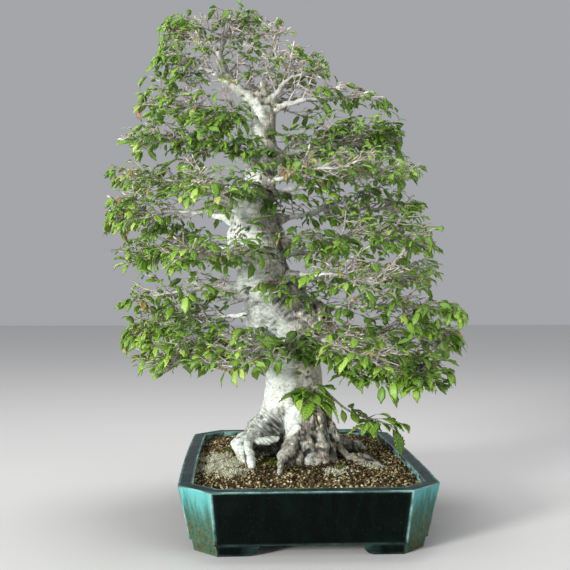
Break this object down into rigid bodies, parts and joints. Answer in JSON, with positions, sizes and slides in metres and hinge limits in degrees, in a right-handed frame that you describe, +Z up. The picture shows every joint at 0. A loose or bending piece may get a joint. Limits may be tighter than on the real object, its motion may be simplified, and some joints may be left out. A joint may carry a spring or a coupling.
{
  "type": "japanese beech bonsai",
  "caption": "Old beech grown as a miniature tree, pale buttressed trunk with spreading roots and tiers of leafy limbs, in a deep teal glazed pot with cut corners.",
  "frame": {"origin": "middle of the whole tree and pot's bounding box, on the surface that the pot stands on", "axes": "+Z up, +X to the right as the tree is shown, the pot's long side along Y with its shown end at -Y"},
  "size_m": [0.6114, 0.4986, 0.7835],
  "materials": {
    "pot_glaze": "dark teal glaze, nearly black green on the long faces, paler turquoise where it breaks on the cut corners and edges",
    "soil": "dry granular bonsai soil in ochre, tan and brown, matt",
    "screen_mesh": "black moulded plastic mesh",
    "bark": "smooth pale grey beech bark, wrinkled over the roots, matt",
    "leaves": "young green beech leaves with a soft sheen, thin grey-brown twigs"
  },
  "bodies": {
    "root": {"pot": "pot_glaze", "soil": "soil", "drain_screen_front": "screen_mesh", "drain_screen_back": "screen_mesh", "trunk": "bark", "left_01": "leaves", "left_02": "leaves", "left_03": "leaves", "left_04": "leaves", "left_05": "leaves", "left_06": "leaves", "left_07": "leaves", "left_08": "leaves", "right_01": "leaves", "right_02": "leaves", "right_03": "leaves", "right_04": "leaves", "right_05": "leaves", "right_06": "leaves", "right_07": "leaves", "right_08": "leaves", "right_09": "leaves", "back_01": "leaves", "back_02": "leaves", "back_03": "leaves", "back_04": "leaves", "back_05": "leaves", "front_01": "leaves", "front_02": "leaves", "front_03": "leaves", "front_04": "leaves", "front_05": "leaves", "front_06": "leaves", "top_01": "leaves", "top_02": "leaves", "top_03": "leaves", "crown_01": "leaves", "crown_02": "leaves", "crown_03": "leaves", "low_shoot": "leaves", "face_sprout": "leaves"}
  },
  "joints": []
}
